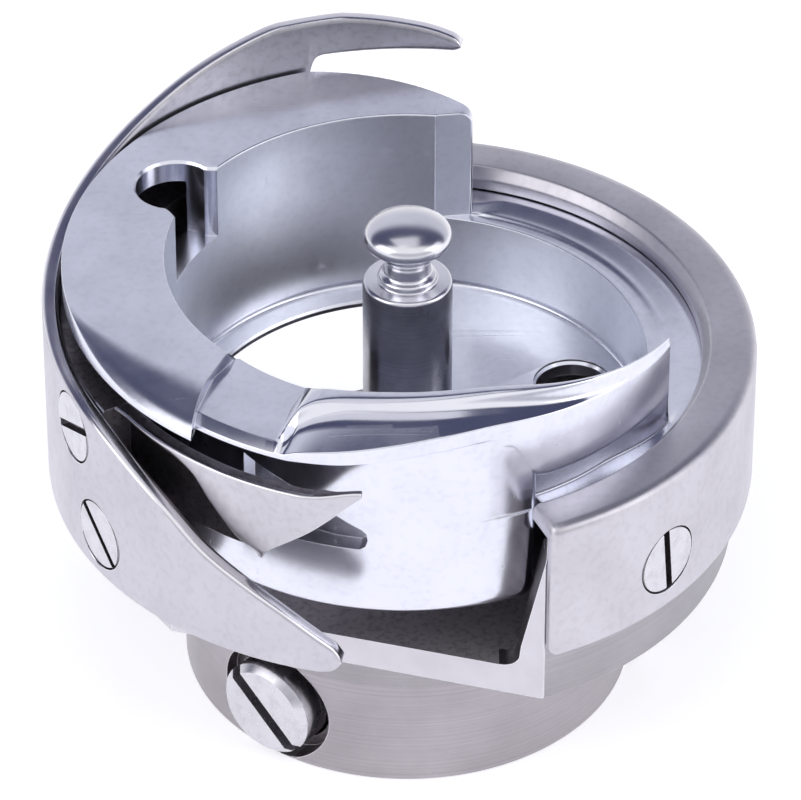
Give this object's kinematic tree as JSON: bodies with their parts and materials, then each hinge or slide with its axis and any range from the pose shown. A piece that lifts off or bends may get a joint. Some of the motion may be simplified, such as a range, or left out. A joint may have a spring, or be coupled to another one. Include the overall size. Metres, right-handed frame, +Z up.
{
  "type": "rotary sewing hook with bobbin case holder",
  "caption": "Rotary hook on a bored hub, with a hook point, retaining gib, thread guard and a free-turning holder cup with a centre stud for a bobbin case.",
  "frame": {"origin": "on the shaft axis, in the free end face of the hub", "axes": "+Z runs up the shaft axis from the hub to the cup's mouth; -Y is the sewing side, where the hook point and the front window are; +X is the side of the retaining gib"},
  "size_m": [0.0357, 0.0362, 0.0273],
  "materials": {
    "hook_steel": "turned and bead blasted tool steel",
    "gib_steel": "fine bead blast with a polished outer edge",
    "guard_steel": "satin spring steel with polished edges",
    "screw_steel": "satin, clean slots",
    "basket_chrome": "bright satin plating, polished at the horn and at the crescent's end",
    "stud_steel": "polished",
    "felt": "oiled wool felt"
  },
  "bodies": {
    "hook": {"hook_body": "hook_steel", "hub": "hook_steel", "gib": "gib_steel", "gib_screw_1": "screw_steel", "gib_screw_2": "screw_steel", "gib_screw_3": "screw_steel", "thread_guard": "guard_steel", "guard_screw_1": "screw_steel", "guard_screw_2": "screw_steel", "guard_screw_3": "screw_steel", "oil_wick": "felt", "oil_plug": "screw_steel"},
    "holder": {"basket": "basket_chrome", "center_stud": "stud_steel", "stud_washer": "screw_steel"},
    "set_screw_a": {"set_screw_1": "screw_steel"},
    "set_screw_b": {"set_screw_2": "screw_steel"},
    "set_screw_c": {"set_screw_3": "screw_steel"}
  },
  "joints": [
    {"name": "holder_spin", "type": "hinge", "parent": "hook", "child": "holder", "pos_m": [0, 0, 0.0176], "axis": [0, 0, 1], "continuous": true},
    {"name": "set_screw_1_travel", "type": "slide", "parent": "hook", "child": "set_screw_a", "axis": [-0.5821, -0.8131, 0], "range_m": [-0.00075, 0.0015]},
    {"name": "set_screw_2_travel", "type": "slide", "parent": "hook", "child": "set_screw_b", "axis": [0.9952, -0.0976, 0], "range_m": [-0.00075, 0.0015]},
    {"name": "set_screw_3_travel", "type": "slide", "parent": "hook", "child": "set_screw_c", "axis": [-0.4131, 0.9107, 0], "range_m": [-0.00075, 0.0015]}
  ]
}
